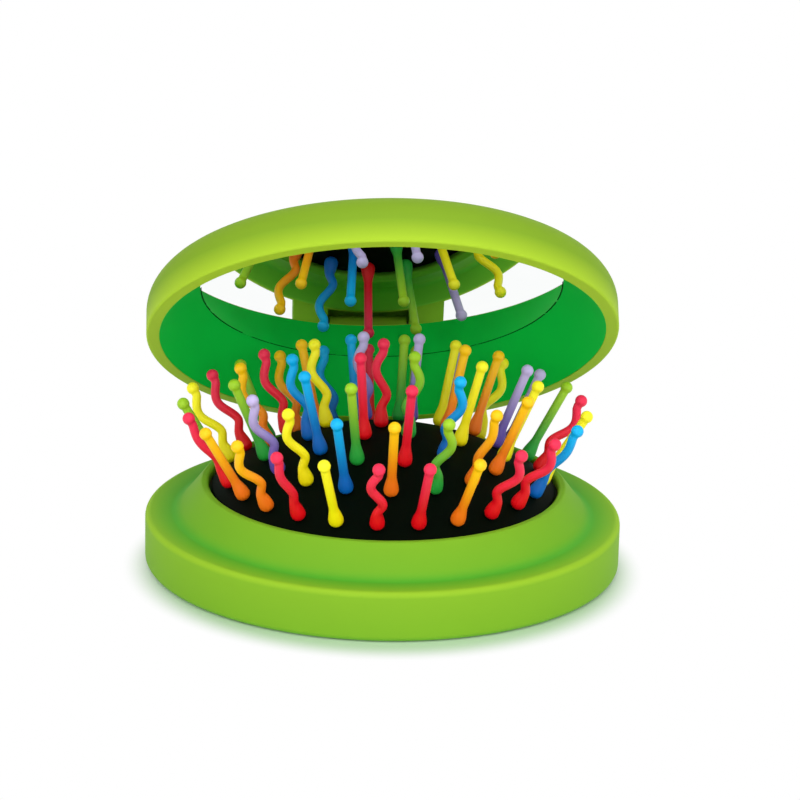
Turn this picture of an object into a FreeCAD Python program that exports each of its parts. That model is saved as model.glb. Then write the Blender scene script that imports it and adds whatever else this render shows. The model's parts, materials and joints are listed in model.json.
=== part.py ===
import FreeCAD
import Part
import math
import os

# Pocket styling brush: a round case whose lid carries a mirror and whose base carries a cushion
# of ball-tipped bristles that pops up out of a collar.
# Millimetres, Z up, origin at the centre of the underside, hinge at +Y, front at -Y.
# The rest pose has the lid part open and the cushion up.

# Case
case_radius = 35.0
case_wall = 1.6
base_rim_height = 7.3
rim_edge_round = 0.8
foot_chamfer = 0.5
parting_gap = 0.2
seam_clearance = 0.1

# Collar round the cushion, with the bore that guides the push plate
rim_width = 3.7
collar_rise = 4.5
collar_flank_angle = 52.0
collar_foot_fillet = 2.0
collar_lip_width = 1.1
collar_lip_round = 0.45
stop_width = 1.0
guide_wall = 1.5
lip_depth = 1.4
base_ring_depth = 1.6

# Push plate under the cushion, which slides in the guide
plate_depth = 0.8
plate_clearance = 0.3
plate_stop_gap = 0.05
finger_dish_radius = 12.0
finger_dish_depth = 0.25

# Rubber cushion
cushion_clearance = 0.4
cushion_skirt_height = 0.85
crown_share = 0.3162
cushion_skin = 0.8
cushion_foot_width = 1.4
cushion_sides = 48

# Bristles: the four rings from the crown outwards, as shares of the cushion's radius
ring_shares = [0.146, 0.431, 0.684, 0.909]
ring_counts = [3, 10, 17, 25]
ring_starts = [95.0, 102.0, 100.6, 106.2]
shaft_radius = 0.72
ball_radius = 1.0
ball_belt_height = 0.3
ball_flat_radius = 0.45
bulb_radius = 1.2
bulb_height = 1.9
root_gap = 0.1
tip_clearance = 0.5
flattened_cushion = 0.62
stowed_floor_gap = 0.1
wave_height = 0.85
light_wave_height = 0.4
wave_length = 8.4
straight_run = 0.4
wave_steps = 5
bristle_sides = 5

# One letter for each bristle in its ring, in order: s straight, l lightly waved, w waved
ring_forms = [
    "wsw",
    "wwwssswsss",
    "sswwswwsswlssssss",
    "wwswwslswlswsswwlswsswsss",
]

# Hinge
hinge_offset = 3.5
hinge_drop = 1.3
knuckle_radius = 2.2
knuckle_gap = 0.3
lid_knuckle_length = 12.4
base_knuckle_length = 5.6
lid_lug_height = 3.0
tray_depth = 2.0
tray_setback = 0.5
web_share = 0.6
pin_radius = 1.25
pin_clearance = 0.05
lid_open_angle = 38.5

# Lid
lid_wall = 1.9
lid_crown_radius = 90.0
lid_edge_round = 4.5
crown_shares = [0.58, 0.15]
lid_skin = 0.7
mirror_depth = 7.85
mirror_border = 7.7
mirror_thickness = 0.9
mirror_clearance = 0.1
tape_depth = 0.15
tape_width = 2.6
tape_length = 6.0
tape_pads = 4
bezel_overlap = 0.3
liner_wall = 1.2

# Heights and radii that follow from the sizes above
collar_foot_radius = case_radius - rim_width
flank_slope = math.radians(collar_flank_angle)
valley_radius = collar_foot_radius - collar_foot_fillet * math.tan(flank_slope / 2)
bore_radius = valley_radius - collar_rise / math.tan(flank_slope) - collar_lip_width
guide_radius = bore_radius + stop_width
guide_outside = guide_radius + guide_wall
lip_height = base_rim_height + collar_rise
shoulder_height = lip_height - lip_depth
plate_top = shoulder_height - plate_stop_gap
plate_bottom = plate_top - plate_depth
pop_travel = plate_bottom - stowed_floor_gap
cushion_radius = bore_radius - cushion_clearance
cushion_crown_rise = cushion_radius * crown_share
cushion_edge = plate_top + cushion_skirt_height
cushion_top = cushion_edge + cushion_crown_rise
dome_radius = (cushion_radius**2 + cushion_crown_rise**2) / (2 * cushion_crown_rise)
dome_centre = cushion_top - dome_radius
ring_radii = [cushion_radius * share for share in ring_shares]
hinge_back = case_radius + hinge_offset
hinge_height = base_rim_height - hinge_drop
tray_top = hinge_height - knuckle_radius - knuckle_gap
tray_low = tray_top - tray_depth
lid_rim = base_rim_height + parting_gap
mirror_radius = case_radius - mirror_border
mirror_face = lid_rim + mirror_depth
mirror_seat = mirror_face + mirror_thickness + tape_depth
mirror_pocket = mirror_radius + mirror_clearance
crown_centre = mirror_seat + lid_skin - math.sqrt(lid_crown_radius**2 - mirror_pocket**2)
lid_corner = crown_centre + math.sqrt(lid_crown_radius**2 - case_radius**2)
crown_radii = [case_radius * share for share in crown_shares]
lid_top = crown_centre + math.sqrt(lid_crown_radius**2 - crown_radii[-1] ** 2)
stowed_root = stowed_floor_gap + plate_depth + flattened_cushion + root_gap
bristle_length = mirror_face - tip_clearance - stowed_root

axis = FreeCAD.Vector(0, 0, 1)
hinge_point = FreeCAD.Vector(0, hinge_back, hinge_height)


def turned(outline):
    # A solid of revolution from a closed outline of (radius, height) points.
    points = [FreeCAD.Vector(radius, 0, height) for radius, height in outline]
    face = Part.Face(Part.makePolygon(points + points[:1]))
    solid = face.revolve(FreeCAD.Vector(0, 0, 0), axis, 360)
    return Part.Solid(solid) if solid.ShapeType == "Shell" else solid


def softened(before, corner, after, radius, steps):
    # Points on the arc that rounds the corner of an outline between its two neighbours.
    middle = complex(*corner)
    first = complex(*before) - middle
    second = complex(*after) - middle
    first /= abs(first)
    second /= abs(second)
    half = math.acos((first.conjugate() * second).real) / 2
    centre = middle + (first + second) / abs(first + second) * radius / math.sin(half)
    start = middle + first * radius / math.tan(half) - centre
    side = math.copysign(1, (first.conjugate() * second).imag)
    points = []
    for step in range(steps + 1):
        sweep = -side * (math.pi - 2 * half) * step / steps
        place = centre + start * complex(math.cos(sweep), math.sin(sweep))
        points.append((place.real, place.imag))
    return points


def dome_height(radius):
    # Height of the cushion's outside at a radius.
    return dome_centre + math.sqrt(dome_radius**2 - radius**2)


def crown_height(radius):
    # Height of the closed lid's domed outside at a radius.
    return crown_centre + math.sqrt(lid_crown_radius**2 - radius**2)


def knuckle(middle, length):
    # One hinge barrel, centred at an X position.
    start = FreeCAD.Vector(middle - length / 2, hinge_back, hinge_height)
    return Part.makeCylinder(knuckle_radius, length, start, FreeCAD.Vector(1, 0, 0))


def hinge_length():
    return lid_knuckle_length + 2 * knuckle_gap + 2 * base_knuckle_length


def pin_hole():
    length = hinge_length() + 2 * base_knuckle_length
    start = FreeCAD.Vector(-length / 2, hinge_back, hinge_height)
    return Part.makeCylinder(pin_radius + pin_clearance, length, start, FreeCAD.Vector(1, 0, 0))


def lug(outline, middle, length):
    # A web from the case wall to a barrel, from a side outline of (back, height) points.
    left = middle - length / 2
    corners = [FreeCAD.Vector(left, back, height) for back, height in outline]
    face = Part.Face(Part.makePolygon(corners + corners[:1]))
    return face.extrude(FreeCAD.Vector(length, 0, 0))


def make_base_shell():
    # Outer wall and rim, with the two base barrels and the tray below the lid's barrel.
    inner = case_radius - case_wall
    under = base_rim_height - case_wall
    foot = (case_radius, 0)
    edge = (case_radius, base_rim_height)
    rim_end = (collar_foot_radius, base_rim_height)
    outline = [(inner, 0), (case_radius - foot_chamfer, 0), (case_radius, foot_chamfer)]
    outline += softened(foot, edge, rim_end, rim_edge_round, 2)
    outline += [rim_end, (collar_foot_radius, under), (inner, under)]
    shell = turned(outline)
    root = math.sqrt((case_radius - case_wall / 2) ** 2 - (hinge_length() / 2) ** 2)
    toe = hinge_back - tray_setback
    reach = web_share * knuckle_radius
    slope = (reach + tray_setback) / (hinge_height - reach - tray_low)
    lip = toe + slope * tray_depth
    web = [
        (root, tray_low),
        (toe, tray_low),
        (hinge_back + reach, hinge_height - reach),
        (hinge_back, base_rim_height),
        (root, base_rim_height),
    ]
    tray = [(root, tray_low), (toe, tray_low), (lip, tray_top), (root, tray_top)]
    shell = shell.fuse(lug(tray, 0, hinge_length()))
    middle = (hinge_length() - base_knuckle_length) / 2
    for side in (-1, 1):
        shell = shell.fuse(lug(web, side * middle, base_knuckle_length))
        shell = shell.fuse(knuckle(side * middle, base_knuckle_length))
    hollow = Part.makeCylinder(inner, under)
    return shell.cut(hollow).cut(pin_hole()).removeSplitter()


def make_base_collar():
    # The foot is pressed into the rim, and its valley runs on from the rim's top.
    under = base_rim_height - case_wall
    foot = (collar_foot_radius, base_rim_height)
    valley = (valley_radius, base_rim_height)
    nose = (bore_radius + collar_lip_width, lip_height)
    lip = (bore_radius, lip_height)
    outline = [(guide_radius, 0), (guide_outside, 0), (guide_outside, under)]
    outline += [(collar_foot_radius, under)]
    outline += softened(foot, valley, nose, collar_foot_fillet, 2)
    outline += softened(valley, nose, lip, collar_lip_round, 1)
    outline += [lip, (bore_radius, shoulder_height), (guide_radius, shoulder_height)]
    return turned(outline)


def make_base_ring():
    # Closes the underside between the guide and the outer wall.
    outer = case_radius - case_wall - seam_clearance
    low = [(guide_outside, 0), (outer, 0)]
    return turned(low + [(outer, base_ring_depth), (guide_outside, base_ring_depth)])


def make_push_plate():
    radius = guide_radius - plate_clearance
    outline = [
        (0, plate_bottom + finger_dish_depth),
        (finger_dish_radius, plate_bottom + finger_dish_depth),
        (finger_dish_radius, plate_bottom),
        (radius, plate_bottom),
        (radius, plate_top),
        (0, plate_top),
    ]
    return turned(outline)


def faceted(sections):
    # A closed solid through polygon sections that all have the same number of corners.
    faces = []
    for lower, upper in zip(sections, sections[1:]):
        for number in range(len(lower)):
            nearby = (number + 1) % len(lower)
            ring = [lower[number], lower[nearby], upper[nearby], upper[number], lower[number]]
            faces.append(Part.Face(Part.makePolygon(ring)))
    for cap in (sections[0], sections[-1]):
        faces.append(Part.Face(Part.makePolygon(cap + cap[:1])))
    solid = Part.Solid(Part.Shell(faces))
    if solid.Volume < 0:
        solid.reverse()
    return solid


def polygon(radius, height):
    # Corners of a many-sided section about the axis.
    corners = []
    for number in range(cushion_sides):
        turn = 2 * math.pi * number / cushion_sides
        corners.append(FreeCAD.Vector(radius * math.cos(turn), radius * math.sin(turn), height))
    return corners


def make_cushion():
    # The dome bends at the rings of bristles, so that each bristle stands on it.
    foot = cushion_radius - cushion_foot_width
    roof = dome_height(ring_radii[1]) - cushion_skin
    sections = [polygon(cushion_radius, plate_top), polygon(cushion_radius, cushion_edge)]
    sections += [polygon(radius, dome_height(radius)) for radius in ring_radii[::-1]]
    hollow = faceted([polygon(foot, plate_top), polygon(ring_radii[1], roof)])
    return faceted(sections).cut(hollow)


def make_bristle(radius, azimuth, form):
    # A bulb at the root, a shaft that is straight or waves in the plane of X, and a ball at the tip.
    # The first bend of a wavy shaft is inwards, which keeps it off the collar as it goes down.
    turn = math.radians(azimuth)
    lean = math.asin(radius / dome_radius)
    out = FreeCAD.Vector(math.cos(turn), math.sin(turn), 0)
    along = out * math.sin(lean) + axis * math.cos(lean)
    root = axis * dome_centre + along * (dome_radius + root_gap)
    across = FreeCAD.Vector(0, 1, 0).cross(along).normalize()
    if across.dot(out) < 0:
        across = across * -1
    binormal = along.cross(across)
    ball_middle = bristle_length - ball_radius
    neck = ball_middle - math.sqrt(ball_radius**2 - shaft_radius**2)
    stations = [(0, 0, bulb_radius), (bulb_height, 0, shaft_radius)]
    end = 0
    sideways = {"s": 0, "l": light_wave_height, "w": wave_height}[form]
    if sideways:
        start = bulb_height + straight_run
        step = (neck - straight_run - start) / wave_steps
        for number in range(wave_steps + 1):
            end = -sideways * math.sin(2 * math.pi * number * step / wave_length)
            stations.append((start + number * step, end, shaft_radius))
    stations.append((neck, end, shaft_radius))
    belt = math.sqrt(ball_radius**2 - ball_belt_height**2)
    for rise in (-ball_belt_height, ball_belt_height):
        stations.append((ball_middle + rise, end, belt))
    stations.append((bristle_length, end, ball_flat_radius))
    headings = []
    for first, second in zip(stations, stations[1:]):
        headings.append(math.atan2(second[1] - first[1], second[0] - first[0]))
    sections = []
    for number, (distance, aside, size) in enumerate(stations):
        before = headings[max(number - 1, 0)]
        after = headings[min(number, len(headings) - 1)]
        mitre = (before + after) / 2
        stretch = 1 / math.cos((after - before) / 2)
        middle = root + along * distance + across * aside
        level = across * (math.cos(mitre) * stretch) - along * (math.sin(mitre) * stretch)
        section = []
        for corner in range(bristle_sides):
            angle = 2 * math.pi * (corner + 0.5) / bristle_sides
            section.append(middle + (level * math.cos(angle) + binormal * math.sin(angle)) * size)
        sections.append(section)
    return faceted(sections)


def ring_groups(count):
    # Neighbouring bristles that swing together: pairs, and three where the count is odd.
    starts = list(range(0, count - count % 2, 2))
    groups = [[start, start + 1] for start in starts]
    if count % 2:
        groups[-1].append(count - 1)
    return groups


def make_bristles(ring):
    # The groups of bristles of one ring, each a compound of separate solids.
    count = ring_counts[ring]
    solids = []
    for number in range(count):
        azimuth = ring_starts[ring] + number * 360 / count
        solids.append(make_bristle(ring_radii[ring], azimuth, ring_forms[ring][number]))
    return [Part.makeCompound([solids[number] for number in group]) for group in ring_groups(count)]


def make_hinge_pin():
    start = FreeCAD.Vector(-hinge_length() / 2, hinge_back, hinge_height)
    return Part.makeCylinder(pin_radius, hinge_length(), start, FreeCAD.Vector(1, 0, 0))


def make_lid_shell():
    # Wall, rounded edge and shallow dome; inside, a flat seat for the mirror.
    inner = case_radius - lid_wall
    rim = (case_radius, lid_rim)
    corner = (case_radius, lid_corner)
    crown = [(radius, crown_height(radius)) for radius in crown_radii]
    outline = [(inner, lid_rim), rim]
    outline += softened(rim, corner, crown[0], lid_edge_round, 3)
    outline += crown + [(0, lid_top), (0, mirror_seat), (mirror_pocket, mirror_seat)]
    outline += [(inner, lid_corner - lid_edge_round / 2)]
    shell = turned(outline)
    root = case_radius - lid_wall / 2
    high = hinge_height + knuckle_radius
    web = [(root, lid_rim), (hinge_back, lid_rim), (hinge_back, high), (root, lid_rim + lid_lug_height)]
    shell = shell.fuse(knuckle(0, lid_knuckle_length)).fuse(lug(web, 0, lid_knuckle_length))
    hollow = Part.makeCylinder(inner, lid_lug_height, FreeCAD.Vector(0, 0, lid_rim))
    return shell.cut(hollow).cut(pin_hole()).removeSplitter()


def make_lid_liner():
    # Pressed into the lid at its rim, and it holds the edge of the mirror at its other end.
    rim = case_radius - lid_wall
    end = mirror_radius - bezel_overlap
    outline = [
        (rim, lid_rim),
        (rim, lid_rim + liner_wall),
        (end + liner_wall, mirror_face),
        (end, mirror_face),
    ]
    return turned(outline)


def make_mirror():
    return Part.makeCylinder(mirror_radius, mirror_thickness, FreeCAD.Vector(0, 0, mirror_face))


def make_mirror_tape():
    # Flat pads spaced round the mirror's back.
    near = mirror_radius - tape_width
    wide = tape_width - tape_length**2 / (8 * near)
    pads = []
    for number in range(tape_pads):
        corner = FreeCAD.Vector(near, -tape_length / 2, mirror_face + mirror_thickness)
        pad = Part.makeBox(wide, tape_length, tape_depth, corner)
        pad.rotate(FreeCAD.Vector(0, 0, 0), axis, (number + 0.5) * 360 / tape_pads)
        pads.append(pad)
    return Part.makeCompound(pads)


def opened(shape):
    # A lid piece turned from the closed place to the rest pose.
    shape.rotate(hinge_point, FreeCAD.Vector(-1, 0, 0), lid_open_angle)
    return shape


os.makedirs("parts", exist_ok=True)
pieces = {
    "base_shell": make_base_shell(),
    "base_collar": make_base_collar(),
    "base_ring": make_base_ring(),
    "push_plate": make_push_plate(),
    "cushion": make_cushion(),
    "hinge_pin": make_hinge_pin(),
    "lid_shell": opened(make_lid_shell()),
    "lid_liner": opened(make_lid_liner()),
    "mirror": opened(make_mirror()),
    "mirror_tape": opened(make_mirror_tape()),
}
for ring, name in enumerate(["crown", "inner", "middle", "outer"]):
    groups = make_bristles(ring)
    for number, group in enumerate(groups):
        pieces[f"{name}_bristles_{number + 1:02d}"] = group
for name, shape in pieces.items():
    shape.exportStep(f"parts/{name}.step")
    print(f"{name}: {len(shape.Solids)} solids, {shape.Volume:.2f} cubic mm, valid {shape.isValid()}")
print(f"bristle length {bristle_length:.2f}, pop travel {pop_travel:.2f}, lid top {lid_top:.2f}")
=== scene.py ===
import bpy
import bmesh
import json
import math
from mathutils import Matrix, Vector


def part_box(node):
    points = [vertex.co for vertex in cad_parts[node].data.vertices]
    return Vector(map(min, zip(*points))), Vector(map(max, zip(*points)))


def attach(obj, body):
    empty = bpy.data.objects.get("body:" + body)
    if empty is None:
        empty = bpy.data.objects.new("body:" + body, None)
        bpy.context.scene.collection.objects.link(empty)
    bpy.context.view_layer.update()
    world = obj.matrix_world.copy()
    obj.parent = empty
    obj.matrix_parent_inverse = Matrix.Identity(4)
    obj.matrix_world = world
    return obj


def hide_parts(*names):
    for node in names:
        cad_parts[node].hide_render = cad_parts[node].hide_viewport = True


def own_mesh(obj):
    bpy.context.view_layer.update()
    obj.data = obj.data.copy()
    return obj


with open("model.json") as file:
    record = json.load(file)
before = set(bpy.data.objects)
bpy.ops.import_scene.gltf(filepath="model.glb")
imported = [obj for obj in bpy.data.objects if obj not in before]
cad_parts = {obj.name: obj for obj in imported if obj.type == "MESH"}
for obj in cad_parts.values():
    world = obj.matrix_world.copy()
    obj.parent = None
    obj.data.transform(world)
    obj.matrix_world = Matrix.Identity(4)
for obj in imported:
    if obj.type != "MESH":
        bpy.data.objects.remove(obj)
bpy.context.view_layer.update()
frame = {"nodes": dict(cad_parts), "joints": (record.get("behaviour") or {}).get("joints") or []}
mm = 0.001
print("frame loaded with", len(frame["nodes"]), "nodes")


class Wire:
    # one socket of a node tree that takes part in Python sums
    def __init__(self, tree, socket=None):
        self.tree = tree
        self.socket = socket

    def node(self, kind, settings=None, inputs=None, out=0):
        made = self.tree.nodes.new(kind)
        for name, value in (settings or {}).items():
            setattr(made, name, value)
        for name, value in (inputs or {}).items():
            if isinstance(value, Wire):
                self.tree.links.new(value.socket, made.inputs[name])
            else:
                made.inputs[name].default_value = value
        return Wire(self.tree, made.outputs[out] if len(made.outputs) else None)

    def sum(self, operation, first, second=0.0):
        return self.node("ShaderNodeMath", {"operation": operation}, {0: first, 1: second})

    def __add__(self, other):
        return self.sum("ADD", self, other)

    def __radd__(self, other):
        return self.sum("ADD", other, self)

    def __sub__(self, other):
        return self.sum("SUBTRACT", self, other)

    def __rsub__(self, other):
        return self.sum("SUBTRACT", other, self)

    def __mul__(self, other):
        return self.sum("MULTIPLY", self, other)

    def __truediv__(self, other):
        return self.sum("DIVIDE", self, other)


def srgb(red, green, blue):
    # a colour as seen on screen, 0 to 255, as the linear values that shaders take
    def linear(level):
        share = level / 255
        return share / 12.92 if share <= 0.04045 else ((share + 0.055) / 1.055) ** 2.4

    return (linear(red), linear(green), linear(blue), 1.0)


def newMaterial(name):
    material = bpy.data.materials.new(name)
    material.use_nodes = True
    material.node_tree.nodes.clear()
    return material, Wire(material.node_tree)


def surfaced(material, start, inputs):
    # closes a material with one plain shader
    shader = start.node("ShaderNodeBsdfPrincipled", None, inputs)
    start.node("ShaderNodeOutputMaterial", None, {"Surface": shader})
    return material


def noise(start, scale, detail, stretch=(1.0, 1.0, 1.0)):
    place = start.node("ShaderNodeTexCoord", None, None, "Object")
    place = start.node("ShaderNodeMapping", None, {"Vector": place, "Scale": stretch})
    inputs = {"Vector": place, "Scale": scale, "Detail": detail}
    return start.node("ShaderNodeTexNoise", None, inputs, "Fac")


def attribute(start, name, out="Fac"):
    return start.node("ShaderNodeAttribute", {"attribute_name": name}, None, out)


def softRange(start, inputs):
    return start.node("ShaderNodeMapRange", {"interpolation_type": "SMOOTHSTEP"}, inputs)


def mixShader(start, share, first, second):
    return start.node("ShaderNodeMixShader", None, {0: share, 1: first, 2: second})


def mixColour(start, share, first, second):
    # a mix node takes colours at its sockets 6 and 7, and gives one at 2
    return start.node("ShaderNodeMix", {"data_type": "RGBA"}, {0: share, 6: first, 7: second}, 2)


def bumped(start, height, strength, depth):
    return start.node("ShaderNodeBump", None, {"Strength": strength, "Distance": depth, "Height": height})


# painted highlight: a paler yellow-green for the light caught along the rims' edges
paintedHighlightTone = srgb(174, 208, 48)
# painted shade: a deep green that stands in for the shade and green bounce light in creases, at the foot
# and below the lid
paintedShadeTone = srgb(8, 162, 46)


def casePlastic(name, light, deep):
    # moulded plastic: slow drifts of tone, a fine matte grain, painted shade in creases and a painted
    # highlight on rims
    material, start = newMaterial(name)
    drift = noise(start, scale=60.0, detail=3.0)
    grain = noise(start, scale=5200.0, detail=1.0)
    # painted shade in creases and a painted highlight on rims, read from marks kept on the pieces
    paintedShade = attribute(start, "paintedShade")
    rim = attribute(start, "rim")
    colour = mixColour(start, rim, mixColour(start, drift, deep, light), paintedHighlightTone)
    inputs = {
        "Base Color": mixColour(start, paintedShade, colour, paintedShadeTone),
        "Roughness": 0.55 + drift * 0.1,
        "Normal": bumped(start, grain, strength=0.12, depth=0.02 * mm),
        "Specular IOR Level": 0.1,
    }
    return surfaced(material, start, inputs)


def mirrorGlass():
    # silvered glass with faint smears, and worn flecks along its edge
    material, start = newMaterial("silvered mirror")
    fleckLimit = 0.4
    smear = noise(start, scale=90.0, detail=4.0)
    flecks = noise(start, scale=420.0, detail=2.0)
    edge = attribute(start, "edge")
    worn = start.sum("GREATER_THAN", flecks, fleckLimit) * edge
    colour = mixColour(start, smear, srgb(247, 250, 249), srgb(252, 253, 253))
    colour = mixColour(start, worn, colour, srgb(14, 46, 24))
    return surfaced(material, start, {"Base Color": colour, "Metallic": 1.0, "Roughness": 0.0})


def cushionRubber():
    material, start = newMaterial("black rubber")
    bloom = noise(start, scale=120.0, detail=4.0)
    grain = noise(start, scale=4200.0, detail=2.0)
    inputs = {
        "Base Color": mixColour(start, bloom, srgb(1, 6, 2), srgb(3, 10, 4)),
        "Roughness": 0.6 + bloom * 0.15,
        "Normal": bumped(start, grain, strength=0.25, depth=0.03 * mm),
        "Specular IOR Level": 0.04,
    }
    return surfaced(material, start, inputs)


def platePlastic():
    material, start = newMaterial("black grained plastic")
    grain = noise(start, scale=1900.0, detail=3.0)
    inputs = {
        "Base Color": mixColour(start, grain, srgb(16, 16, 17), srgb(30, 31, 31)),
        "Roughness": 0.5 + grain * 0.2,
        "Normal": bumped(start, grain, strength=0.5, depth=0.05 * mm),
    }
    return surfaced(material, start, inputs)


def drawnSteel():
    # fine streaks along the pin
    material, start = newMaterial("drawn steel")
    streak = noise(start, scale=1.0, detail=2.0, stretch=(60.0, 4000.0, 4000.0))
    inputs = {
        "Base Color": mixColour(start, streak, srgb(150, 152, 154), srgb(190, 191, 192)),
        "Metallic": 1.0,
        "Roughness": 0.25 + streak * 0.2,
    }
    return surfaced(material, start, inputs)


def foamTape():
    material, start = newMaterial("foam tape")
    cell = noise(start, scale=2500.0, detail=2.0)
    colour = mixColour(start, cell, srgb(190, 190, 184), srgb(226, 226, 220))
    return surfaced(material, start, {"Base Color": colour, "Roughness": 0.8})


def bristleNylon(length):
    # the colour runs from the root's tone to the tip's along the bristle
    material, start = newMaterial("bristle nylon")
    rootShare = 0.1
    root = attribute(start, "rootTone", "Color")
    tip = attribute(start, "tipTone", "Color")
    rise = attribute(start, "rise")
    spread = {"Value": rise, "From Min": length * rootShare, "From Max": length}
    share = softRange(start, spread)
    inputs = {
        "Base Color": mixColour(start, share, root, tip),
        "Roughness": 0.36 + noise(start, scale=900.0, detail=2.0) * 0.12,
        "Specular IOR Level": 0.3,
    }
    return surfaced(material, start, inputs)


limePlastic = casePlastic("lime green plastic", srgb(119, 171, 37), srgb(115, 167, 35))
# the same lime plastic as the base, in a yellower copy: painted light for how the light falls on the lid
lidPaintedLightPlastic = casePlastic("lime green plastic in the lid's painted light", srgb(126, 162, 38), srgb(121, 158, 35))
deepPlastic = casePlastic("deep green plastic", srgb(9, 211, 76), srgb(6, 205, 71))
silver = mirrorGlass()
rubber = cushionRubber()
blackPlastic = platePlastic()
steel = drawnSteel()
tape = foamTape()
print("materials made")

smoothBelow = math.radians(40)
bevelAbove = math.radians(30)
axisReach = 1e-7  # a ring nearer to the axis is one point
weldReach = 1e-8


def eased(share):
    # a soft step from nothing to one
    return share * share * (3 - 2 * share)


def roundedOutline(corners, steps=6, support=0.12 * mm):
    # corners are (radius, height, rounding); each rounding becomes an arc with close edges beside it
    outline = []
    for number, (radius, height, rounding) in enumerate(corners):
        if rounding <= 0:
            outline.append((radius, height))
            continue
        here = Vector((radius, height))
        before = (Vector(corners[number - 1][:2]) - here).normalized()
        after = (Vector(corners[(number + 1) % len(corners)][:2]) - here).normalized()
        half = before.angle(after) / 2
        middle = here + (before + after).normalized() * (rounding / math.sin(half))
        first = here + before * (rounding / math.tan(half))
        last = here + after * (rounding / math.tan(half))
        sweep = (first - middle).angle_signed(last - middle)
        startAngle = math.atan2(first.y - middle.y, first.x - middle.x)
        outline.append(tuple(first + before * support))
        for step in range(steps + 1):
            angle = startAngle - sweep * step / steps
            outline.append((middle.x + rounding * math.cos(angle), middle.y + rounding * math.sin(angle)))
        outline.append(tuple(last + after * support))
    return outline


def domePoints(centreHeight, radius, startReach, endReach, count):
    # points on an upward dome about the axis, from one reach to another
    first = math.asin(startReach / radius)
    last = math.asin(endReach / radius)
    points = []
    for step in range(count + 1):
        angle = first + (last - first) * step / count
        points.append((radius * math.sin(angle), centreHeight + radius * math.cos(angle)))
    return points


def meshObject(name, bm, material, sharp=smoothBelow):
    bmesh.ops.recalc_face_normals(bm, faces=bm.faces)
    mesh = bpy.data.meshes.new(name)
    bm.to_mesh(mesh)
    bm.free()
    mesh.materials.append(material)
    mesh.shade_smooth()
    mesh.set_sharp_from_angle(angle=sharp)
    piece = bpy.data.objects.new(name, mesh)
    bpy.context.scene.collection.objects.link(piece)
    return piece


def lathe(name, outline, material, segments=192, sharp=smoothBelow):
    # turns a closed outline of (radius, height) points about Z
    bm = bmesh.new()
    rings = []
    for radius, height in outline:
        ring = []
        for step in range(segments if radius > axisReach else 1):
            angle = 2 * math.pi * step / segments
            ring.append(bm.verts.new((radius * math.cos(angle), radius * math.sin(angle), height)))
        rings.append(ring)
    for number, ring in enumerate(rings):
        following = rings[(number + 1) % len(rings)]
        if len(ring) == 1 and len(following) == 1:
            continue
        for step in range(segments):
            nearby = (step + 1) % segments
            corners = [ring[step % len(ring)], ring[nearby % len(ring)]]
            corners += [following[nearby % len(following)], following[step % len(following)]]
            bm.faces.new(list(dict.fromkeys(corners)))
    bmesh.ops.remove_doubles(bm, verts=bm.verts, dist=weldReach)
    return meshObject(name, bm, material, sharp)


def marked(piece, name, rule):
    # keeps a value at each vertex, worked out from its place
    layer = piece.data.attributes.new(name, "FLOAT", "POINT")
    layer.data.foreach_set("value", [rule(vertex.co) for vertex in piece.data.vertices])
    return piece


def extruded(name, outline, left, right, material, bevel):
    # a web along X from a closed outline of (back, height) points, with rounded edges
    bm = bmesh.new()
    first = [bm.verts.new((left, back, height)) for back, height in outline]
    last = [bm.verts.new((right, back, height)) for back, height in outline]
    bm.faces.new(first)
    bm.faces.new(last[::-1])
    for number in range(len(outline)):
        nearby = (number + 1) % len(outline)
        bm.faces.new([first[number], last[number], last[nearby], first[nearby]])
    bmesh.ops.recalc_face_normals(bm, faces=bm.faces)
    edges = [edge for edge in bm.edges if edge.calc_face_angle(0) > bevelAbove]
    rounding = {"offset": bevel, "segments": 3, "profile": 0.5, "clamp_overlap": True}
    bmesh.ops.bevel(bm, geom=edges, affect="EDGES", **rounding)
    return meshObject(name, bm, material)


def joined(name, pieces):
    # several meshes of one material as one piece
    bm = bmesh.new()
    for piece in pieces:
        bm.from_mesh(piece.data)
    material = pieces[0].data.materials[0]
    for piece in pieces:
        bpy.data.objects.remove(piece)
    return meshObject(name, bm, material)


jointOf = {joint["name"]: joint for joint in frame["joints"]}
hinge = Vector(jointOf["lid_close"]["pos_m"])
restAngle = math.radians(-jointOf["lid_close"]["range_deg"][0])
hingeTurn = Matrix.Rotation(restAngle, 4, Vector((-1, 0, 0)))
openTurn = Matrix.Translation(hinge) @ hingeTurn @ Matrix.Translation(-hinge)


def shutBox(node):
    # a lid node's corners with the lid turned shut
    shutTurn = openTurn.inverted()
    places = [shutTurn @ vertex.co for vertex in frame["nodes"][node].data.vertices]
    low = Vector([min(place[axis] for place in places) for axis in range(3)])
    high = Vector([max(place[axis] for place in places) for axis in range(3)])
    return low, high


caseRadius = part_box("base_shell")[1].x
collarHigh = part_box("base_collar")[1]
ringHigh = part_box("base_ring")[1]
plateLow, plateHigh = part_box("push_plate")
pinLow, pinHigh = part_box("hinge_pin")
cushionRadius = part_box("cushion")[1].x
mirrorLow, mirrorHigh = shutBox("mirror")
linerLow, linerHigh = shutBox("lid_liner")
lidTop = shutBox("lid_shell")[1].z

baseSizes = {
    "rimHeight": 7.3 * mm,
    "wall": 1.6 * mm,
    "rimEdge": 0.8 * mm,
    "footEdge": 0.8 * mm,
    "footInside": 0.15 * mm,
}
# how strongly, and how far, the case takes its painted shade and painted highlight
paintedShadeAndHighlight = {
    "valley": 0.54,
    "valleyShift": 0.5 * mm,
    "valleyReach": 1.1 * mm,
    "foot": 0.36,
    "rear": 0.5,
    "rimDepth": 0.1 * mm,
    "baseRim": 0.55,
    "rimReach": 1.18 * mm,
    "lidRim": 0.7,
    "lidRimHeight": 0.6 * mm,
}


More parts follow.
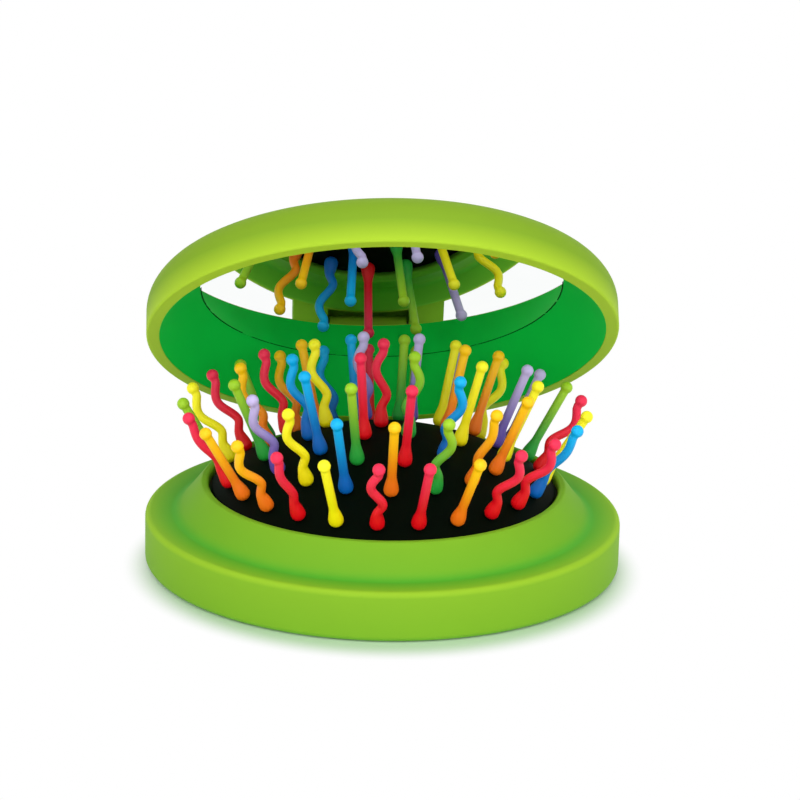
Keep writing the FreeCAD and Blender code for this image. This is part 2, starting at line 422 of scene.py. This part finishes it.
def valleyShade(spot):
    # painted shade, deepest in the valley between rim and collar, at the wall's foot, and at the back
    # below the lid
    s = paintedShadeAndHighlight
    if spot.z < baseSizes["rimHeight"] - s["rimDepth"]:
        return s["foot"] * max(0.0, 1.0 - spot.z / baseSizes["footEdge"])
    away = (spot.xy.length - collarValley - s["valleyShift"]) / s["valleyReach"]
    rear = min(1.0, max(0.0, spot.y / hinge.y))
    rearShade = s["rear"] * eased(rear)
    return max(s["valley"] * math.exp(-away * away), rearShade)


def baseRimPaintedHighlight(spot):
    # a painted highlight, palest on the round edge of the rim, and gone a short reach away
    away = math.hypot(spot.xy.length - caseRadius, spot.z - baseSizes["rimHeight"])
    return paintedShadeAndHighlight["baseRim"] * max(0.0, 1.0 - away / paintedShadeAndHighlight["rimReach"])


def lidRimPaintedHighlight(spot):
    # a painted highlight: a pale band along the lid's edge
    return paintedShadeAndHighlight["lidRim"] if spot.z < lidRim + paintedShadeAndHighlight["lidRimHeight"] else 0.0


def makeBaseWall():
    s = baseSizes
    inner = caseRadius - s["wall"]
    under = s["rimHeight"] - s["wall"]
    corners = [
        (inner, 0, s["footInside"]),
        (caseRadius, 0, s["footEdge"]),
        (caseRadius, s["rimHeight"], s["rimEdge"]),
        (collarHigh.x, s["rimHeight"], 0),
        (collarHigh.x, under, 0),
        (inner, under, 0),
    ]
    # painted shade in the valley, at the foot and at the back, and a painted highlight along the rim's
    # edge
    wall = marked(lathe("base_wall", roundedOutline(corners), limePlastic), "paintedShade", valleyShade)
    return marked(wall, "rim", baseRimPaintedHighlight)


collarSizes = {
    "flankAngle": math.radians(52.0),
    "footFillet": 2.0 * mm,
    "filletKept": 0.98,  # share that keeps the fillet's end on the collar
    "lipWidth": 1.1 * mm,
    "lipRound": 0.45 * mm,
    "lipDepth": 1.4 * mm,
    "shadeEnd": 0.25,  # share of the flank by which the valley's shade has nearly gone
    "stopWidth": 1.0 * mm,
    "stopEdge": 0.1 * mm,
    "guideWall": 1.5 * mm,
    "guideEdge": 0.2 * mm,
}
closeSupport = 0.02 * mm
collarValley = collarHigh.x - collarSizes["footFillet"] * math.tan(collarSizes["flankAngle"] / 2)
collarRun = (collarHigh.z - baseSizes["rimHeight"]) / math.tan(collarSizes["flankAngle"])
collarBore = collarValley - collarRun - collarSizes["lipWidth"]
guideRadius = collarBore + collarSizes["stopWidth"]
guideOutside = guideRadius + collarSizes["guideWall"]


def makeCollar():
    s = collarSizes
    rim = baseSizes["rimHeight"]
    under = rim - baseSizes["wall"]
    shoulder = collarHigh.z - s["lipDepth"]
    shadeRadius = collarValley - s["shadeEnd"] * collarRun
    shadeHeight = rim + s["shadeEnd"] * (collarHigh.z - rim)
    corners = [
        (guideRadius, 0, s["guideEdge"]),
        (guideOutside, 0, s["guideEdge"]),
        (guideOutside, under, 0),
        (collarHigh.x, under, 0),
        (collarHigh.x, rim, 0),
        (collarValley, rim, s["footFillet"] * s["filletKept"]),
        (shadeRadius, shadeHeight, 0),
        (collarBore + s["lipWidth"], collarHigh.z, s["lipRound"]),
        (collarBore, collarHigh.z, s["lipRound"]),
        (collarBore, shoulder, s["stopEdge"]),
        (guideRadius, shoulder, 0),
    ]
    collar = lathe("collar", roundedOutline(corners, steps=8, support=closeSupport), limePlastic)
    # painted shade in the valley and at the back
    return marked(collar, "paintedShade", valleyShade)


def makeUndersideRing():
    edge = collarSizes["guideEdge"]
    corners = [
        (guideOutside, 0, edge),
        (ringHigh.x, 0, edge),
        (ringHigh.x, ringHigh.z, 0),
        (guideOutside, ringHigh.z, 0),
    ]
    return lathe("underside_ring", roundedOutline(corners, steps=3), limePlastic)


hingeSizes = {
    "knuckle": 2.2 * mm,
    "baseLength": 5.6 * mm,
    "gap": 0.3 * mm,
    "pinClearance": 0.05 * mm,
    "lugHeight": 3.0 * mm,
    "trayDepth": 2.0 * mm,
    "traySetback": 0.5 * mm,
    "webShare": 0.6,
    "webSteps": 24,
    "edge": 0.2 * mm,
    "holeEdge": 0.1 * mm,
    "sink": 0.05 * mm,  # by which webs and tray stay inside the faces that they join
}
hingeLength = pinHigh.x - pinLow.x
lidBarrelLength = hingeLength - 2 * (hingeSizes["baseLength"] + hingeSizes["gap"])
pinRadius = (pinHigh.z - pinLow.z) / 2
webRadius = (hingeSizes["knuckle"] + pinRadius) / 2  # the webs end inside the barrels' walls


def barrel(name, middle, length, material):
    # a tube round the pin, along X
    s = hingeSizes
    hole = pinRadius + s["pinClearance"]
    corners = [
        (hole, -length / 2, s["holeEdge"]),
        (s["knuckle"], -length / 2, s["edge"]),
        (s["knuckle"], length / 2, s["edge"]),
        (hole, length / 2, s["holeEdge"]),
    ]
    piece = lathe(name, roundedOutline(corners, steps=3), material, segments=64)
    lay = Matrix.Translation((middle, hinge.y, hinge.z)) @ Matrix.Rotation(math.pi / 2, 4, "Y")
    piece.data.transform(lay)
    return piece


def webArc(startAngle, endAngle):
    # the part of a web's outline that follows the barrel
    points = []
    steps = hingeSizes["webSteps"]
    for step in range(steps + 1):
        angle = startAngle + (endAngle - startAngle) * step / steps
        points.append((hinge.y + webRadius * math.cos(angle), hinge.z + webRadius * math.sin(angle)))
    return points


def makeBaseHinge():
    # two barrels on a block whose tray runs on below the lid's barrel
    s = hingeSizes
    rim = baseSizes["rimHeight"]
    trayTop = hinge.z - s["knuckle"] - s["gap"]
    trayLow = trayTop - s["trayDepth"]
    toe = hinge.y - s["traySetback"]
    reach = s["webShare"] * s["knuckle"]
    slope = (reach + s["traySetback"]) / (hinge.z - reach - trayLow)
    root = math.sqrt((caseRadius - baseSizes["wall"] / 2) ** 2 - (hingeLength / 2) ** 2)
    top = rim - s["sink"]
    lowAngle = math.atan2(-reach, reach)
    highAngle = -math.pi - math.asin((top - hinge.z) / webRadius)
    web = [(root, trayLow), (toe, trayLow)] + webArc(lowAngle, highAngle) + [(root, top)]
    middle = (hingeLength - s["baseLength"]) / 2
    pieces = []
    for side in (-1, 1):
        left = side * middle - s["baseLength"] / 2 + s["sink"]
        pieces.append(barrel("base_barrel", side * middle, s["baseLength"], limePlastic))
        right = left + s["baseLength"] - 2 * s["sink"]
        pieces.append(extruded("base_web", web, left, right, limePlastic, s["edge"]))
    trayRoot = math.sqrt((caseRadius - baseSizes["wall"] / 2) ** 2 - (lidBarrelLength / 2) ** 2)
    trayToe = toe - s["sink"]
    trayLip = trayToe + slope * s["trayDepth"]
    low = trayLow + s["sink"]
    tray = [(trayRoot, low), (trayToe, low), (trayLip, trayTop), (trayRoot, trayTop)]
    half = lidBarrelLength / 2 + s["gap"] + 2 * s["edge"]
    pieces.append(extruded("hinge_tray", tray, -half, half, limePlastic, s["edge"]))
    return joined("base_hinge", pieces)


lidSizes = {
    "wall": 1.9 * mm,
    "crownRadius": 90.0 * mm,
    "crownFlat": 0.15,  # share of the radius at which the CAD crown goes flat
    "crownStart": 0.97,  # share of the edge round's reach at which the crown begins
    "crownSteps": 18,
    "edgeRound": 4.5 * mm,
    "rimEdge": 0.35 * mm,
    "pocketGap": 0.1 * mm,
    "bezel": 0.3 * mm,
    "linerWall": 1.2 * mm,
    "linerEdge": 0.05 * mm,
}
lidRim = linerLow.z


def makeLidHinge():
    s = hingeSizes
    root = caseRadius - lidSizes["wall"] / 2
    low = lidRim + s["sink"]
    lowAngle = math.pi - math.asin((low - hinge.z) / webRadius)
    web = webArc(lowAngle, math.pi / 2) + [(hinge.y, hinge.z + s["knuckle"] - s["sink"])]
    web += [(root, lidRim + s["lugHeight"]), (root, low)]
    half = lidBarrelLength / 2 - s["sink"]
    lug = extruded("lid_lug", web, -half, half, lidPaintedLightPlastic, s["edge"])
    return joined("lid_hinge", [barrel("lid_barrel", 0.0, lidBarrelLength, lidPaintedLightPlastic), lug])


def makeLidShell():
    s = lidSizes
    flat = s["crownFlat"] * caseRadius
    crownCentre = lidTop - math.sqrt(s["crownRadius"] ** 2 - flat**2)
    corner = crownCentre + math.sqrt(s["crownRadius"] ** 2 - caseRadius**2)
    inner = caseRadius - s["wall"]
    slope = math.asin(caseRadius / s["crownRadius"])
    tangent = caseRadius - s["edgeRound"] / math.tan((math.pi / 2 + slope) / 2) * math.cos(slope)
    crown = domePoints(crownCentre, s["crownRadius"], tangent * s["crownStart"], flat, s["crownSteps"])
    rimCorner = (caseRadius, lidRim, s["rimEdge"])
    edgeCorner = (caseRadius, corner, s["edgeRound"])
    edge = roundedOutline([(inner, lidRim, 0), rimCorner, edgeCorner, crown[0] + (0,)], steps=10)
    seat = shutBox("mirror_tape")[1].z
    inside = [
        (0.0, lidTop),
        (0.0, seat),
        (mirrorHigh.x + s["pocketGap"], seat),
        (inner, corner - s["edgeRound"] / 2),
    ]
    dome = lathe("lid_dome", edge[:-1] + crown + inside, lidPaintedLightPlastic)
    # a painted highlight along the lid's edge
    return marked(dome, "rim", lidRimPaintedHighlight)


def makeLiner():
    s = lidSizes
    end = mirrorHigh.x - s["bezel"]
    corners = [
        (linerHigh.x, linerLow.z, s["linerEdge"]),
        (linerHigh.x, linerLow.z + s["linerWall"], 0),
        (end + s["linerWall"], mirrorLow.z, 0),
        (end, mirrorLow.z, s["linerEdge"]),
    ]
    return lathe("lid_bezel", roundedOutline(corners, steps=4, support=closeSupport), deepPlastic)


mirrorSizes = {"edge": 0.12 * mm, "wornWidth": 0.16 * mm, "wornStep": 0.02 * mm}


def makeMirror():
    s = mirrorSizes
    wornStart = mirrorHigh.x - lidSizes["bezel"] - s["wornWidth"]
    corners = [
        (0.0, mirrorLow.z, 0),
        (wornStart, mirrorLow.z, 0),
        (wornStart + s["wornStep"], mirrorLow.z, 0),
        (mirrorHigh.x, mirrorLow.z, s["edge"]),
        (mirrorHigh.x, mirrorHigh.z, s["edge"]),
        (0.0, mirrorHigh.z, 0),
    ]
    glass = lathe("mirror_glass", roundedOutline(corners, steps=3), silver)
    wornMiddle = wornStart + s["wornStep"] / 2
    return marked(glass, "edge", lambda spot: 1.0 if spot.xy.length > wornMiddle else 0.0)


cushionSizes = {
    "skirt": 0.85 * mm,
    "crownShare": 0.3162,
    "crownStart": 0.985,  # share of the radius at which the crown begins
    "crownSteps": 28,
    "hollowSteps": 14,
    "skin": 0.8 * mm,
    "foot": 1.4 * mm,
    "edge": 0.35 * mm,
    "flattened": 0.46 * mm,  # stowed, just clear of the bristles' bulbs
}
cushionEdge = plateHigh.z + cushionSizes["skirt"]
cushionRise = cushionRadius * cushionSizes["crownShare"]
domeRadius = (cushionRadius**2 + cushionRise**2) / (2 * cushionRise)
domeCentre = cushionEdge + cushionRise - domeRadius


def makeCushion():
    s = cushionSizes
    foot = cushionRadius - s["foot"]
    dome = domePoints(domeCentre, domeRadius, cushionRadius * s["crownStart"], 0.0, s["crownSteps"])
    skirt = [
        (foot, plateHigh.z, 0),
        (cushionRadius, plateHigh.z, 0),
        (cushionRadius, cushionEdge, s["edge"]),
        dome[0] + (0,),
    ]
    hollow = domePoints(domeCentre, domeRadius - s["skin"], 0.0, foot, s["hollowSteps"])
    return lathe("rubber_cushion", roundedOutline(skirt, steps=5)[:-1] + dome + hollow, rubber)


plateSizes = {"dish": 12.0 * mm, "dishDepth": 0.25 * mm, "dishEdge": 0.1 * mm, "edge": 0.12 * mm}


def makePlate():
    s = plateSizes
    corners = [
        (0.0, plateLow.z + s["dishDepth"], 0),
        (s["dish"], plateLow.z + s["dishDepth"], s["dishEdge"]),
        (s["dish"], plateLow.z, s["dishEdge"]),
        (plateHigh.x, plateLow.z, s["edge"]),
        (plateHigh.x, plateHigh.z, s["edge"]),
        (0.0, plateHigh.z, 0),
    ]
    return lathe("push_disc", roundedOutline(corners, steps=3), blackPlastic)


pinEdge = 0.15 * mm


def makePin():
    corners = [
        (0.0, pinLow.x, 0),
        (pinRadius, pinLow.x, pinEdge),
        (pinRadius, pinHigh.x, pinEdge),
        (0.0, pinHigh.x, 0),
    ]
    piece = lathe("steel_pin", roundedOutline(corners, steps=3), steel, segments=48)
    piece.data.transform(Matrix.Translation((0, hinge.y, hinge.z)) @ Matrix.Rotation(math.pi / 2, 4, "Y"))
    return piece


def place(piece, body, slot, *nodes):
    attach(piece, body)
    if nodes:
        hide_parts(*nodes)
    return piece


def opened(piece):
    piece.data.transform(openTurn)
    return piece


place(makeBaseWall(), "base", "case_green", "base_shell")
place(makeBaseHinge(), "base", "case_green")
place(makeCollar(), "base", "case_green", "base_collar")
place(makeUndersideRing(), "base", "case_green", "base_ring")
place(makePin(), "hinge_pin", "pin_steel", "hinge_pin")
place(opened(makeLidShell()), "lid", "case_green", "lid_shell")
place(opened(makeLidHinge()), "lid", "case_green")
place(opened(makeLiner()), "lid", "liner_green", "lid_liner")
place(opened(makeMirror()), "lid", "mirror", "mirror")
tapeMesh = frame["nodes"]["mirror_tape"].data
tapeMesh.materials.clear()
tapeMesh.materials.append(tape)
place(makePlate(), "carrier", "plate_black", "push_plate")
cushion = place(makeCushion(), "carrier", "cushion_rubber", "cushion")
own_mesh(cushion)
print("case, lid and cushion made")

bristleSizes = {
    "length": 13.23 * mm,
    "shaft": 0.66 * mm,
    "ball": 0.92 * mm,
    "bulb": 1.1 * mm,
    "bulbMiddle": 0.75 * mm,
    "bulbTop": 3.6 * mm,
    "rootGap": 0.1 * mm,
    "waveHeight": 0.85 * mm,
    "lightWave": 0.4 * mm,
    "waveLength": 8.4 * mm,
    "waveStart": 2.3 * mm,
    "waveEnd": 11.14 * mm,
    "waveEase": 2.6 * mm,  # over which the wave grows out of the straight root
    "tiltStep": 0.2 * mm,  # over which the tree measures the wave's slope
}
bristleSteps = {"bulb": 6, "taper": 10, "shaft": 24, "ball": 10}
bulbStart = math.radians(60)
# rings from the crown outwards, as shares of the cushion's radius
# a letter for each bristle: s straight, l lightly waved, w waved
bristleRings = [
    {"name": "crown", "share": 0.146, "start": 95.0, "forms": "wsw", "tones": "RRG"},
    {"name": "inner", "share": 0.431, "start": 102.0, "forms": "wwwssswsss", "tones": "PYBBGRBYOP"},
    {
        "name": "middle", "share": 0.684, "start": 100.6,
        "forms": "sswwswwsswlssssss", "tones": "BOROGPYBOGOOYPOYG",
    },
    {
        "name": "outer", "share": 0.909, "start": 106.2,
        "forms": "wwswwslswlswsswwlswsswsss", "tones": "BOGRYGROORYRRORRBYRGPYPGR",
    },
]
bristleTones = {
    "R": ("bristle_red", srgb(226, 4, 18), srgb(238, 42, 80)),
    "O": ("bristle_orange", srgb(242, 116, 14), srgb(255, 200, 8)),
    "Y": ("bristle_yellow", srgb(246, 232, 0), srgb(252, 242, 36)),
    "G": ("bristle_green", srgb(30, 158, 54), srgb(156, 202, 36)),
    "B": ("bristle_blue", srgb(0, 98, 186), srgb(0, 176, 240)),
    "P": ("bristle_purple", srgb(94, 74, 168), srgb(196, 182, 230)),
}


def bristleOutline():
    # a rounded bulb that tapers into the shaft, and a ball at the tip
    s = bristleSizes
    deep = s["bulbMiddle"] + s["rootGap"]
    outline = [(0.0, -s["rootGap"])]
    for step in range(bristleSteps["bulb"] + 1):
        angle = bulbStart * (step / bristleSteps["bulb"] - 1)
        height = s["bulbMiddle"] + deep * math.sin(angle) / math.sin(bulbStart)
        outline.append((s["bulb"] * math.cos(angle), height))
    for step in range(1, bristleSteps["taper"] + 1):
        share = step / bristleSteps["taper"]
        height = s["bulbMiddle"] + (s["bulbTop"] - s["bulbMiddle"]) * share
        outline.append((s["bulb"] + (s["shaft"] - s["bulb"]) * eased(share), height))
    ballMiddle = s["length"] - s["ball"]
    lowAngle = -math.acos(s["shaft"] / s["ball"])
    neck = ballMiddle + s["ball"] * math.sin(lowAngle)
    for step in range(1, bristleSteps["shaft"]):
        outline.append((s["shaft"], s["bulbTop"] + (neck - s["bulbTop"]) * step / bristleSteps["shaft"]))
    for step in range(bristleSteps["ball"]):
        angle = lowAngle + (math.pi / 2 - lowAngle) * step / bristleSteps["ball"]
        outline.append((s["ball"] * math.cos(angle), ballMiddle + s["ball"] * math.sin(angle)))
    outline.append((0.0, s["length"]))
    return outline


def makeBristleTree():
    # sets a straight bristle on each root point, then bends it sideways in a wave
    tree = bpy.data.node_groups.new("stand bristles on the cushion", "GeometryNodeTree")
    entries = {"Roots": "Geometry", "Bristle": "Object", "Nylon": "Material"}
    entries.update({name: "Float" for name in ("Wave Start", "Wave End", "Wave Length", "Wave Ease")})
    for name, kind in entries.items():
        tree.interface.new_socket(name, in_out="INPUT", socket_type="NodeSocket" + kind)
    tree.interface.new_socket("Bristles", in_out="OUTPUT", socket_type="NodeSocketGeometry")
    start = Wire(tree)
    given = tree.nodes.new("NodeGroupInput")
    entry = {socket.name: Wire(tree, socket) for socket in given.outputs if socket.name}

    def stored(name, kind):
        settings = {"data_type": kind}
        return start.node("GeometryNodeInputNamedAttribute", settings, {"Name": name}, "Attribute")

    def kept(geometry, name, value):
        inputs = {"Geometry": geometry, "Name": name, "Value": value}
        return start.node("GeometryNodeStoreNamedAttribute", {"data_type": "FLOAT"}, inputs)

    def scaled(vector, size):
        return start.node("ShaderNodeVectorMath", {"operation": "SCALE"}, {0: vector, "Scale": size})

    spot = start.node("GeometryNodeInputPosition")
    source = start.node("GeometryNodeObjectInfo", None, {"Object": entry["Bristle"]}, "Geometry")
    source = kept(source, "rise", start.node("ShaderNodeSeparateXYZ", None, {0: spot}, "Z"))
    source = kept(source, "aside", start.node("ShaderNodeSeparateXYZ", None, {0: spot}, "X"))
    stand = {"Points": entry["Roots"], "Instance": source, "Rotation": stored("turn", "FLOAT_VECTOR")}
    real = start.node(
        "GeometryNodeRealizeInstances", None,
        {"Geometry": start.node("GeometryNodeInstanceOnPoints", None, stand)},
    )
    rise, aside, sway = (stored(name, "FLOAT") for name in ("rise", "aside", "sway"))

    def swingAt(height):
        limits = {"Value": height, "Min": entry["Wave Start"], "Max": entry["Wave End"]}
        climb = start.node("ShaderNodeClamp", None, limits) - entry["Wave Start"]
        grown = {"Value": climb, "From Min": 0.0, "From Max": entry["Wave Ease"]}
        ease = softRange(start, grown)
        return 0.0 - sway * ease * start.sum("SINE", climb * math.tau / entry["Wave Length"])

    step = bristleSizes["tiltStep"]
    swing = swingAt(rise)
    tilt = start.sum("ARCTANGENT", (swingAt(rise + step) - swingAt(rise - step)) / (2 * step))
    outwards = swing + aside * (start.sum("COSINE", tilt) - 1.0)
    upwards = 0.0 - aside * start.sum("SINE", tilt)
    shift = start.node(
        "ShaderNodeVectorMath", {"operation": "ADD"},
        {
            0: scaled(stored("across", "FLOAT_VECTOR"), outwards),
            1: scaled(stored("along", "FLOAT_VECTOR"), upwards),
        },
    )
    bent = start.node("GeometryNodeSetPosition", None, {"Geometry": real, "Offset": shift})
    coloured = start.node("GeometryNodeSetMaterial", None, {"Geometry": bent, "Material": entry["Nylon"]})
    start.node("NodeGroupOutput", None, {0: coloured})
    return tree


nylon = bristleNylon(bristleSizes["length"])
bristleSmooth = math.radians(60)
straightBristle = lathe("straight_bristle", bristleOutline(), nylon, segments=16, sharp=bristleSmooth)
bristleTree = makeBristleTree()


def bristleGroups(count):
    # neighbours that swing together: pairs, and three where the count is odd
    groups = [[first, first + 1] for first in range(0, count - count % 2, 2)]
    if count % 2:
        groups[-1].append(count - 1)
    return groups


def bristleRoot(ring, number):
    # what the tree reads at one root: its place, directions, sideways wave and tones
    s = bristleSizes
    azimuth = math.radians(ring["start"] + number * 360 / len(ring["forms"]))
    lean = math.asin(ring["share"] * cushionRadius / domeRadius)
    out = Vector((math.cos(azimuth), math.sin(azimuth), 0))
    along = out * math.sin(lean) + Vector((0, 0, math.cos(lean)))
    across = Vector((0, 1, 0)).cross(along).normalized()
    if across.dot(out) < 0:
        across = -across
    turn = Matrix((across, along.cross(across), along)).transposed().to_euler("XYZ")
    tone = bristleTones[ring["tones"][number]]
    return {
        "place": Vector((0, 0, domeCentre)) + along * (domeRadius + s["rootGap"]),
        "turn": turn,
        "along": along,
        "across": across,
        "sway": [{"s": 0.0, "l": s["lightWave"], "w": s["waveHeight"]}[ring["forms"][number]]],
        "rootTone": tone[1],
        "tipTone": tone[2],
    }


def rootMesh(roots):
    mesh = bpy.data.meshes.new("roots")
    mesh.from_pydata([root["place"] for root in roots], [], [])
    kinds = {
        "turn": ("FLOAT_VECTOR", "vector"),
        "along": ("FLOAT_VECTOR", "vector"),
        "across": ("FLOAT_VECTOR", "vector"),
        "sway": ("FLOAT", "value"),
        "rootTone": ("FLOAT_COLOR", "color"),
        "tipTone": ("FLOAT_COLOR", "color"),
    }
    for name, (kind, field) in kinds.items():
        layer = mesh.attributes.new(name, kind, "POINT")
        layer.data.foreach_set(field, [part for root in roots for part in root[name]])
    return mesh


def growBristles(name, roots):
    seed = bpy.data.objects.new(name + "_roots", rootMesh(roots))
    bpy.context.scene.collection.objects.link(seed)
    modifier = seed.modifiers.new("bristles", "NODES")
    modifier.node_group = bristleTree
    values = {
        "Bristle": straightBristle,
        "Nylon": nylon,
        "Wave Start": bristleSizes["waveStart"],
        "Wave End": bristleSizes["waveEnd"],
        "Wave Length": bristleSizes["waveLength"],
        "Wave Ease": bristleSizes["waveEase"],
    }
    for item in bristleTree.interface.items_tree:
        if item.name in values:
            modifier[item.identifier] = values[item.name]
    bpy.context.view_layer.update()
    evaluated = seed.evaluated_get(bpy.context.evaluated_depsgraph_get())
    mesh = bpy.data.meshes.new_from_object(evaluated)
    mesh.name = name
    bpy.data.objects.remove(seed)
    piece = bpy.data.objects.new(name, mesh)
    bpy.context.scene.collection.objects.link(piece)
    return piece


grown = 0
for ring in bristleRings:
    for order, numbers in enumerate(bristleGroups(len(ring["forms"]))):
        node = f"{ring['name']}_bristles_{order + 1:02d}"
        roots = [bristleRoot(ring, number) for number in numbers]
        piece = growBristles(f"{ring['name']}_tufts_{order + 1:02d}", roots)
        place(piece, node, bristleTones[ring["tones"][numbers[0]]][0], node)
        grown += len(numbers)
bpy.data.objects.remove(straightBristle)
print("bristles grown:", grown)

stageSizes = {
    "floor": 3.0,
    "floorDrop": 0.05 * mm,
    "litShare": 0.86,
    # painted contact shadow: near the case the floor takes a darker green tone that fades to white
    "shadowTone": (0.44, 0.60, 0.40, 1.0),
    "shadowMiddle": (0.0, -3.5 * mm, 0.0),
    "glow": 0.04,
    "fadeStart": 32.5 * mm,
    "fadeEnd": 38.5 * mm,
    "softWorld": 0.45,
    "zenith": 0.62,  # how bright metal and mirror see the top of the studio
    "underGlow": 0.6,  # lights the underside, which only a view from below shows
}


def makeEmission(start, kind, strength):
    return start.node(kind, None, {"Color": (1.0, 1.0, 1.0, 1.0), "Strength": strength})


def seenRays(start):
    # what the camera, metal and glass see, against what only lights the part
    path = start.tree.nodes.new("ShaderNodeLightPath")
    names = ("Is Camera Ray", "Is Glossy Ray", "Is Transmission Ray")
    camera, glossy, through = (Wire(start.tree, path.outputs[name]) for name in names)
    return camera, start.sum("MAXIMUM", glossy, through)


def makeFloor():
    s = stageSizes
    bm = bmesh.new()
    bmesh.ops.create_grid(bm, x_segments=1, y_segments=1, size=s["floor"])
    bmesh.ops.translate(bm, verts=bm.verts, vec=(0, 0, -s["floorDrop"]))
    material, start = newMaterial("pale floor")
    camera, mirrored = seenRays(start)
    shade = (s["litShare"], s["litShare"], s["litShare"], 1.0)
    lit = start.node("ShaderNodeBsdfDiffuse", None, {"Color": shade})
    white = makeEmission(start, "ShaderNodeEmission", 1.0)
    glow = makeEmission(start, "ShaderNodeEmission", s["glow"])
    under = makeEmission(start, "ShaderNodeEmission", s["underGlow"])
    spot = start.node("ShaderNodeTexCoord", None, None, "Object")
    away = start.node("ShaderNodeVectorMath", {"operation": "LENGTH"}, {0: spot}, "Value")
    fromShadow = {0: spot, 1: s["shadowMiddle"]}
    beyond = start.node("ShaderNodeVectorMath", {"operation": "DISTANCE"}, fromShadow, "Value")
    spread = {"Value": beyond, "From Min": s["fadeStart"], "From Max": s["fadeEnd"]}
    fade = softRange(start, spread)
    # painted contact shadow, with a painted green bounce from the case
    shadow = start.node("ShaderNodeBsdfDiffuse", None, {"Color": s["shadowTone"]})
    shown = start.node("ShaderNodeAddShader", None, {0: shadow, 1: glow})
    shown = mixShader(start, fade, shown, white)
    covered = start.sum("LESS_THAN", away, caseRadius - baseSizes["wall"])
    hidden = mixShader(start, covered, lit, under)
    hidden = mixShader(start, mirrored, hidden, white)
    shader = mixShader(start, camera, hidden, shown)
    below = start.node("ShaderNodeNewGeometry", None, None, "Backfacing")
    clear = start.node("ShaderNodeBsdfTransparent")
    shader = mixShader(start, below, shader, clear)
    start.node("ShaderNodeOutputMaterial", None, {"Surface": shader})
    meshObject("floor", bm, material)


def makeWorld():
    world = bpy.data.worlds.new("studio")
    bpy.context.scene.world = world
    world.use_nodes = True
    world.node_tree.nodes.clear()
    start = Wire(world.node_tree)
    camera, mirrored = seenRays(start)
    soft = makeEmission(start, "ShaderNodeBackground", stageSizes["softWorld"])
    white = makeEmission(start, "ShaderNodeBackground", 1.0)
    zenith = makeEmission(start, "ShaderNodeBackground", stageSizes["zenith"])
    heading = start.node("ShaderNodeTexCoord", None, None, "Generated")
    climb = {"Value": start.node("ShaderNodeSeparateXYZ", None, {0: heading}, "Z")}
    height = softRange(start, climb)
    studio = mixShader(start, height, white, zenith)
    mixed = mixShader(start, mirrored, soft, studio)
    mixed = mixShader(start, camera, mixed, white)
    start.node("ShaderNodeOutputWorld", None, {"Surface": mixed})


lamps = [
    {"name": "left", "at": (-0.52, -0.42, 0.40), "size": 0.74, "power": 2.4, "glint": False},
    {"name": "right", "at": (0.55, -0.40, 0.40), "size": 0.76, "power": 2.8, "glint": False},
    {"name": "front", "at": (-0.05, -0.75, 0.26), "size": 0.50, "power": 1.65, "glint": True},
    {"name": "top", "at": (0.0, -0.25, 0.80), "size": 0.40, "power": 1.3, "glint": False},
    {"name": "back", "at": (0.1, 0.65, 0.45), "size": 0.70, "power": 1.6, "glint": False},
]
lampTarget = Vector((0, 0, 0.02))


def makeLamps():
    for lamp in lamps:
        data = bpy.data.lights.new(lamp["name"], "AREA")
        data.shape = "SQUARE"
        data.size = lamp["size"]
        data.energy = lamp["power"]
        light = bpy.data.objects.new(lamp["name"], data)
        light.location = lamp["at"]
        light.visible_glossy = lamp["glint"]  # the mirror shows the studio, not the side lamps
        light.rotation_euler = (lampTarget - Vector(lamp["at"])).to_track_quat("-Z", "Y").to_euler()
        bpy.context.scene.collection.objects.link(light)


cameraView = {
    "azimuth": -3.838,
    "elevation": 17.177,
    "roll": -1.406,
    "distance": 0.48592,
    "lens": 149.53,
    "sensor": 36.0,
    "nearest": 0.01,
    "target": (0.002143, 0.0, 0.024326),
}


def makeCamera():
    v = cameraView
    azimuth, elevation, roll = (math.radians(v[name]) for name in ("azimuth", "elevation", "roll"))
    flat = Vector((math.sin(azimuth), -math.cos(azimuth), 0))
    back = flat * math.cos(elevation) + Vector((0, 0, math.sin(elevation)))
    level = Vector((math.cos(azimuth), math.sin(azimuth), 0))
    upright = back.cross(level)
    right = level * math.cos(roll) - upright * math.sin(roll)
    up = level * math.sin(roll) + upright * math.cos(roll)
    data = bpy.data.cameras.new("camera")
    data.sensor_width = v["sensor"]
    data.lens = v["lens"]
    data.clip_start = v["nearest"]
    camera = bpy.data.objects.new("camera", data)
    spot = Vector(v["target"]) + back * v["distance"]
    camera.matrix_world = Matrix.Translation(spot) @ Matrix((right, up, back)).transposed().to_4x4()
    bpy.context.scene.collection.objects.link(camera)
    bpy.context.scene.camera = camera


makeFloor()
makeWorld()
makeLamps()
makeCamera()
bpy.context.scene.view_settings.view_transform = "Standard"
print("stage, light and camera set")
